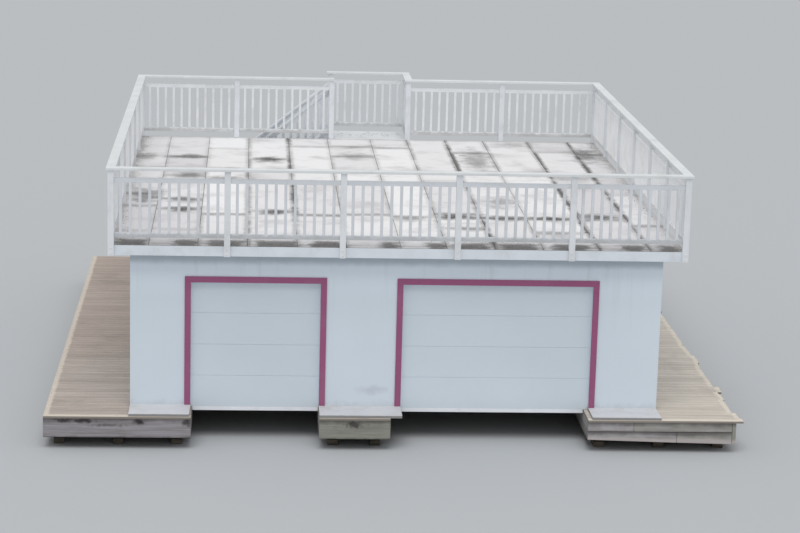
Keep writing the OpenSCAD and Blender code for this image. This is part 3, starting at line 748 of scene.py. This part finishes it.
def rim_boards():
    """The boards across the ends of the piers and the rear dock, in two courses at the right pier."""
    boards = Boards("rim_boards_laid", 5)
    for low, high in solids("dock_rim_boards"):
        front, right = low.y < 0, low.x > 0
        if front and right:
            middle = (low.z + high.z) / 2
            stop = high.x - COURSE_STOP
            upper = ((low.x, UPPER_JOINT[0], 0.1, 1.35), (UPPER_JOINT[1], stop, 0.3, 1.2))
            for x0, x1, hue, tint in upper:
                boards.add((x0, low.y + UPPER_SETBACK, middle + UPPER_RISE), (x1, high.y, high.z),
                           tint=tint, soil=(hue, 0.2, 0))
            lower = ((low.x, LOWER_JOINT[0], 0.15, 1.45, (0.018, -0.018)),
                     (LOWER_JOINT[1], stop, 0.3, 1.5, (-0.018, -0.035)))
            for x0, x1, hue, tint, foot in lower:
                boards.add((x0, low.y, low.z), (x1, high.y, middle - LOWER_DROP),
                           tint=tint, foot=foot, soil=(hue, 0.8, 0))
            boards.add((high.x - CORNER_BOARD, low.y, low.z - CORNER_DROP), high,
                       along=2, tint=0.9, soil=(0.4, 0.8, 0))
        elif front:
            hue = 0.0 if high.x < LEFT_SLIP else 0.5
            boards.add(low, high, tint=0.6, soil=(hue, 0.0, 0))
        else:
            for i in range(REAR_PARTS):
                x0 = low.x + (high.x - low.x) * i / REAR_PARTS
                x1 = low.x + (high.x - low.x) * (i + 1) / REAR_PARTS
                x1 -= REAR_GAP if i < REAR_PARTS - 1 else 0.0
                boards.add((x0, low.y, low.z), (x1, high.y, high.z), soil=(boards.random.random(), 0.3, 0))
    marks = [((x, RIM_FACE, z), (reach_x, 1.0, reach_z), strength)
             for x, z, reach_x, reach_z, strength in RIM_MARKS]
    boards.make(rim_timber(marks), "dock_frame", "dock_rim_boards")


# Planks of a sill, the gap between them, and how far they may settle
SILL_PLANKS = 4
SILL_GAP = 0.004
SILL_SETTLING = 0.0015


def sill_planks(material):
    """Planks side by side under each piece of the front wall."""
    boards = Boards("sill_planks_laid", 6)
    for low, high in solids("sill_planks"):
        pitch = (high.y - low.y + SILL_GAP) / SILL_PLANKS
        for i in range(SILL_PLANKS):
            y = low.y + i * pitch
            drop = -boards.random.uniform(0, SILL_SETTLING) if i < SILL_PLANKS - 1 else 0.0
            boards.add((low.x, y, low.z), (high.x, y + pitch - SILL_GAP, high.z), lift=(drop, drop))
    boards.make(material, "white_paint", "sill_planks")


# Roof deck

# Lengthwise joints of the panels along X, and their width
SEAMS = (-3.66, -2.95, -2.23, -1.50, -0.78, 0.015, 0.69, 1.40, 2.11, 2.94, 3.69)
SEAM_W = 0.007
# Joints across each strip of panels, from left to right: places along Y
CROSS_SEAMS = (
    (-4.2, -2.3, -1.3, 0.0, 1.05, 2.2), (-4.1, -2.5, -1.7, 0.3, 2.2), (-2.9, -0.15, 1.05, 3.1),
    (-2.65, 0.0, 1.05, 2.05), (-2.9, -0.1, 1.0, 3.4), (-2.8, 0.0, 1.0, 2.45, 3.5), (-2.9, 0.0, 1.0, 3.4),
    (-3.75, -2.95, 0.2, 1.05), (-2.95, 0.0, 1.0, 3.0), (-4.0, -2.95, -0.1, 1.0), (-2.9, -0.25, 1.0, 3.2),
    (-3.4, -0.9, 1.0, 3.0),
)
# How dirty the panels are along the front and the back edge of the deck, and along its sides
FRONT_SOIL = 0.3
BACK_SOIL = 0.5
SIDE_SOIL = 0.2
# Least and most, for random draws: how white a panel is, how dirty a joint across a strip and a lengthwise
# joint are, and how much a stretch of lengthwise joint differs from the rest of it
WHITENESS = (0.6, 1.0)
CROSS_DIRT = (0.2, 0.8)
SEAM_DIRT = (0.3, 1.4)
STRETCH = (0.5, 1.5)
# Strips at each side of the deck that are duller than the others, and by how much
DULL_STRIPS = 2
DULLNESS = 0.25
# Where dirt lies at the front edge of each strip of panels, from left to right along X, and how much
FRONT_DIRT = (
    (-4.14, -3.70), (-3.29, -2.97), (-2.79, -2.29), (-2.10, -1.53), (-1.29, -0.80), (-0.29, -0.03),
    (0.40, 0.67), (0.82, 1.32), (1.48, 2.02), (2.28, 2.80), (3.30, 3.60), (3.85, 4.10),
)
FRONT_DIRT_SHARE = 0.8
DECK_TOP = 3.03
# Stains on the panels: place along X and Y, reach in X and Y, and strength
DECK_STAINS = (
    (-3.88, -1.55, 0.34, 0.85, 0.8), (-3.25, -1.75, 0.34, 0.34, 0.75), (-3.27, -2.56, 0.26, 0.30, 0.95),
    (-3.25, 0.40, 0.36, 0.42, 0.8), (-3.30, 2.24, 0.46, 0.30, 0.85), (-2.60, 0.15, 0.46, 0.34, 0.7),
    (-1.86, 2.00, 0.30, 0.40, 1.0), (-1.78, -2.68, 0.36, 0.30, 1.0), (-2.55, 1.00, 0.40, 0.30, 0.5),
    (-0.35, 2.50, 0.44, 0.50, 0.5), (-0.30, 3.45, 0.40, 0.20, 0.4), (-0.80, 0.95, 1.30, 0.24, 0.55),
    (0.28, -3.05, 0.34, 0.30, 0.65), (1.05, -2.82, 0.48, 0.34, 1.0), (1.75, -2.95, 0.46, 0.28, 0.9),
    (2.48, -2.95, 0.46, 0.26, 0.95), (3.30, -2.80, 0.46, 0.38, 1.0), (1.80, 2.20, 0.36, 1.50, 0.6),
    (1.85, -1.60, 0.42, 0.60, 0.6), (3.85, 3.00, 0.36, 1.00, 0.8), (3.30, 0.60, 0.60, 0.50, 0.45),
    (2.60, 0.90, 0.60, 0.36, 0.45), (2.60, 3.90, 0.60, 0.40, 0.4), (2.40, -4.05, 0.34, 0.34, 0.4),
    (1.10, -3.80, 0.36, 0.24, 0.55), (-4.05, 2.20, 0.24, 0.50, 0.6),
)
# Tops of the underlay and undersides of the panels over the foot of the deck
UNDERLAY = 0.0025
PANEL_FOOT = 0.003
# Screws of the panels: heads, distance from the joints and from the deck's sides, and how deep they sit
DECK_SCREW = (8, (0.0045, 0.0), (0.004, 0.001))
DECK_SCREW_INSET = 0.035
DECK_SCREW_MARGIN = 0.06
DECK_SCREW_SUNK = 0.0018


def roof_deck():
    """Panels in strips with open joints, the underlay that shows in them, and screws over the joists."""
    low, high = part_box("roof_deck")
    sides = (low.x, *SEAMS, high.x)
    half = SEAM_W / 2
    panels = Boards("roof_deck_panels", 11)
    chance = random.Random(31)
    dirt = [SIDE_SOIL, *[chance.uniform(*SEAM_DIRT) for _ in SEAMS], SIDE_SOIL]
    for strip, cross in enumerate(CROSS_SEAMS):
        dull = DULLNESS if min(strip, len(SEAMS) - strip) < DULL_STRIPS else 0.0
        x0 = sides[strip] + (half if strip else 0)
        x1 = sides[strip + 1] - (half if strip < len(SEAMS) else 0)
        joints = [(y, chance.uniform(*CROSS_DIRT)) for y in cross]
        ends = ((low.y, FRONT_SOIL), *joints, (high.y, BACK_SOIL))
        for (y0, front), (y1, back) in zip(ends, ends[1:]):
            patch = (*FRONT_DIRT[strip], FRONT_DIRT_SHARE) if y0 == low.y else (0, 0, 0)
            y0 += half if y0 > low.y else 0
            y1 -= half if y1 < high.y else 0
            tint = chance.uniform(*WHITENESS) - dull
            left, right = (dirt[i] * chance.uniform(*STRETCH) for i in (strip, strip + 1))
            soil = (left, right, 0)
            panels.add((x0, y0, low.z + PANEL_FOOT), (x1, y1, high.z), along=1, tint=tint,
                       lift=panels.settle(), soil=soil, ends=(front, back, 0), patch=patch)
    places = [((x, y, DECK_TOP), (reach_x, reach_y, 1.0), strength)
              for x, y, reach_x, reach_y, strength in DECK_STAINS]
    panels.make(deck_paint(places), "deck_paint", "roof_deck")
    underlay = Boards("roof_deck_underlay", 12)
    underlay.add(low, (high.x, high.y, low.z + UNDERLAY), along=1, chamfer=0.0005)
    underlay.make(seam_dirt(), "deck_paint")
    screws = Heads("deck_screws", *DECK_SCREW)
    pick = panels.random
    for first, last in solids("roof_joists"):
        y = (first.y + last.y) / 2
        for x0, x1 in zip(sides, sides[1:]):
            for x in (x0 + DECK_SCREW_INSET, (x0 + x1) / 2, x1 - DECK_SCREW_INSET):
                if abs(x) < high.x - DECK_SCREW_MARGIN:
                    place = (x + stray(pick, 0.008), y + stray(pick, 0.01), high.z - DECK_SCREW_SUNK)
                    screws.add(place, UP)
    screws.make(fastener_metal(), "deck_paint")


# Crumbs of litter: how many to a metre of the front edge and at each side, and how far from the edges they
# lie and spread, at the sides as shares of the deck's half width
FRONT_CRUMBS = 190
SIDE_CRUMBS = 420
FRONT_CLEAR = 0.05
FRONT_SPREAD = 0.22
SIDE_CLEAR = 0.012
SIDE_SPREAD = 0.018
# Sizes and corners of a crumb, the turn from one corner to the next, and how deep it sits
CRUMB_SIZES = (0.004, 0.012)
CRUMB_CORNERS = 5
CRUMB_TURN = 1.2566
CRUMB_SUNK = 0.0025


def edge_litter():
    """Crumbs of leaves and soil that lie on the roof deck behind its front and side railings."""
    low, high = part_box("roof_deck")
    bm = bmesh.new()
    pick = random.Random(21)
    places = []
    for x0, x1 in FRONT_DIRT:
        for _ in range(int(FRONT_CRUMBS * (x1 - x0))):
            places.append((pick.uniform(x0, x1), low.y + FRONT_CLEAR + abs(pick.gauss(0, FRONT_SPREAD))))
    for side in (low.x, high.x):
        for _ in range(SIDE_CRUMBS):
            x = side * (1 - abs(pick.gauss(0, SIDE_SPREAD)) - SIDE_CLEAR)
            places.append((x, pick.uniform(low.y, high.y - FRONT_CLEAR)))
    for x, y in places:
        size, turn = pick.uniform(*CRUMB_SIZES), pick.uniform(0, 6)
        ring = []
        for i in range(CRUMB_CORNERS):
            reach = size * pick.uniform(0.6, 1.2)
            angle = turn + i * CRUMB_TURN
            corner = (x + reach * math.cos(angle), y + reach * math.sin(angle), high.z - CRUMB_SUNK)
            ring.append(bm.verts.new(corner))
        top = bm.verts.new((x, y, high.z + size * pick.uniform(0.15, 0.45)))
        for i in range(CRUMB_CORNERS):
            bm.faces.new([ring[i], ring[(i + 1) % CRUMB_CORNERS], top])
        bm.faces.new(ring[::-1])
    piece("deck_litter", bm, dirt_crumbs(), "deck_paint")


# Stair, landing and bolts

# Half the gap between the two boards of a tread
TREAD_GAP = 0.003
# Heads of bolts: sides, then radius and height of each ring
BOLT = (12, (0.013, 0.0), (0.0125, 0.003), (0.0095, 0.0055), (0.004, 0.0068))
# Heights of the bolts over the foot of a railing post, and their distance from the landing frame's edges
BOLT_HEIGHTS = (0.035, 0.115)
BOLT_INSET = 0.035


def steps():
    """Two boards for each tread, and the boards of the landing."""
    low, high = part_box("stair_treads")
    material = tread_paint((low.y + high.y) / 2)
    treads = Boards("stair_tread_boards", 7)
    for first, last in solids("stair_treads"):
        middle = (first.x + last.x) / 2
        treads.add(first, (middle - TREAD_GAP, last.y, last.z), along=1, chamfer=0.005)
        treads.add((middle + TREAD_GAP, first.y, first.z), last, along=1, chamfer=0.005)
    treads.make(material, "deck_paint", "stair_treads")
    low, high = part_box("landing_boards")
    landing = Boards("landing_boards_laid", 8)
    starts, pitch = courses(low.y, high.y, BOARD_W, BOARD_GAP)
    for y in starts:
        landing.add((low.x, y, low.z), (high.x, y + pitch - BOARD_GAP, high.z), chamfer=0.004)
    landing.make(material, "deck_paint", "landing_boards")


def bolts(material):
    """Two round bolt heads on the leg of each railing post, and on the posts that carry the landing."""
    heads = Heads("post_bolts", *BOLT)
    deck_low, deck_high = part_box("roof_deck")
    for low, high in solids("railing_posts"):
        x, y = (low.x + high.x) / 2, (low.y + high.y) / 2
        if low.y < deck_low.y:
            place, out = (x, low.y), (0, -1, 0)
        elif high.y > deck_high.y:
            place, out = (x, high.y), (0, 1, 0)
        else:
            left = x < 0
            place, out = ((low.x if left else high.x), y), ((-1 if left else 1), 0, 0)
        for height in BOLT_HEIGHTS:
            heads.add((*place, low.z + height), out)
    frame_low, frame_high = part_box("landing_frame")
    for low, high in solids("landing_posts"):
        for z in (frame_low.z + BOLT_INSET, frame_high.z - BOLT_INSET):
            heads.add(((low.x + high.x) / 2, high.y, z), (0, 1, 0))
    heads.make(material, "white_paint")


# Stage

FLOOR_RADIUS = 600.0
FLOOR_DROP = 0.001
# The floor as it lights the building, then the floor and the backdrop as they are shown
FLOOR_LIT = screen(198, 200, 202)
FLOOR_SHOWN = screen(186, 189, 192)
BACKDROP_SHOWN = screen(188, 191, 193)
SKY_STRENGTH = 0.66
SUN_STRENGTH = 1.21
SUN_SPREAD = math.radians(40)
SUN_FROM = Vector((-0.06, -0.42, 0.9))


def background_rays(tree):
    """1 for the rays that show the background: the camera's own, and those by way of metal or glass."""
    path = tree.nodes.new("ShaderNodeLightPath")
    share = path.outputs["Is Camera Ray"]
    for kind in ("Is Glossy Ray", "Is Transmission Ray"):
        most = tree.nodes.new("ShaderNodeMath")
        most.operation = "MAXIMUM"
        tree.links.new(share, most.inputs[0])
        tree.links.new(path.outputs[kind], most.inputs[1])
        share = most.outputs[0]
    return share


def floor():
    """A wide pale floor, shown a little deeper than the colour in which it lights the building."""
    f = Finish("floor")
    f.feed(f.shader.inputs["Base Color"], f.mix(background_rays(f.tree), FLOOR_LIT, FLOOR_SHOWN))
    f.feed(f.shader.inputs["Roughness"], 1.0)
    f.feed(f.shader.inputs["Specular IOR Level"], 0.0)
    bm = bmesh.new()
    bmesh.ops.create_circle(bm, cap_ends=True, segments=96, radius=FLOOR_RADIUS)
    mesh = bpy.data.meshes.new("floor")
    bm.to_mesh(mesh)
    bm.free()
    mesh.materials.append(f.material)
    made = bpy.data.objects.new("floor", mesh)
    made.location.z = -FLOOR_DROP
    bpy.context.scene.collection.objects.link(made)


def light():
    """An even sky, a broad soft sun high up and a little to the front, and a plain backdrop."""
    world = bpy.data.worlds.new("sky")
    bpy.context.scene.world = world
    world.use_nodes = True
    tree = world.node_tree
    sky = tree.nodes["Background"]
    sky.inputs["Color"].default_value = (1.0, 1.0, 1.0, 1.0)
    sky.inputs["Strength"].default_value = SKY_STRENGTH
    shown = tree.nodes.new("ShaderNodeBackground")
    shown.inputs["Color"].default_value = BACKDROP_SHOWN
    blend = tree.nodes.new("ShaderNodeMixShader")
    tree.links.new(background_rays(tree), blend.inputs[0])
    tree.links.new(sky.outputs[0], blend.inputs[1])
    tree.links.new(shown.outputs[0], blend.inputs[2])
    tree.links.new(blend.outputs[0], tree.nodes["World Output"].inputs[0])
    data = bpy.data.lights.new("sun", "SUN")
    data.energy = SUN_STRENGTH
    data.angle = SUN_SPREAD
    sun = bpy.data.objects.new("sun", data)
    sun.rotation_mode = "QUATERNION"
    sun.rotation_quaternion = SUN_FROM.to_track_quat("Z", "Y")
    bpy.context.scene.collection.objects.link(sun)


camera()
light()
floor()
dock_boards()
rim_boards()
roof_deck()
edge_litter()
steps()

# Paints, and each part in its finish

# Heights between which the soil on the foot of the railing fades out
RAIL_FOOT = (3.16, 3.22)

soil = screen(176, 178, 170)
plum_soil = screen(160, 118, 140)
white_paint = painted_timber("white_paint", screen(229, 233, 238), soil, 0.3)
rail_paint = painted_timber("rail_paint", screen(234, 237, 240), soil, 0.3, foot=(*RAIL_FOOT, 0.45))
# A paler copy of the railings' white paint: painted light on the side railings
side_lit_paint = painted_timber("side_rail_lit_paint", screen(246, 248, 250), soil, 0.2, foot=(*RAIL_FOOT, 0.3))
# A darker copy of the railings' white paint: painted shade on the front railing
front_shaded_paint = painted_timber("front_rail_shaded_paint", screen(218, 223, 229), soil, 0.3, foot=(*RAIL_FOOT, 0.4))
fascia_paint = painted_timber("fascia_paint", screen(224, 231, 239), soil, 0.3)
cap_paint = painted_timber("cap_paint", screen(225, 229, 231), soil, 0.25)
sill_paint = painted_timber("sill_paint", screen(206, 207, 211), soil, 0.5, worn_sides=True)
bar_paint = painted_timber("bar_paint", screen(238, 242, 248), soil, 0.2)
plum_paint = painted_timber("plum_paint", screen(156, 84, 124), plum_soil, 0.25, roughness=0.42)

walls = [name for name in nodes if name.startswith("front_wall") or name.endswith("_wall")]
joists = [name for name in nodes if name.endswith("joists") and "roof" not in name]
eaves = [name for name in nodes if "fascia" in name or "soffit" in name]
bolts(white_paint)
dress(walls, wall_paint(), 0.001)
dress(["left_boat_door", "right_boat_door"], door_paint(), 0.002)
dress(["door_bottom_bars"], bar_paint)
dress(["door_trims"], plum_paint)
sill_planks(sill_paint)
dress(eaves, fascia_paint)
dress(["front_railing"], front_shaded_paint, flat=False)
dress(["left_railing", "right_railing"], side_lit_paint, flat=False)
dress(["back_railing", "landing_railing"], rail_paint, flat=False)
dress(["railing_posts", "landing_frame", "landing_posts"], white_paint)
dress(["stair_stringers", "stair_posts", "stair_handrails"], white_paint)
dress(["stair_railings"], white_paint, flat=False)
dress(["cap_front_back", "cap_sides"], cap_paint, 0.004)
dress(["roof_joists"], bare_timber(), 0.002)
dress(["crib_long_timbers", "crib_cross_timbers"], crib_timber(), 0.012)
dress(joists, joist_timber())

bpy.context.scene.view_settings.view_transform = "Standard"
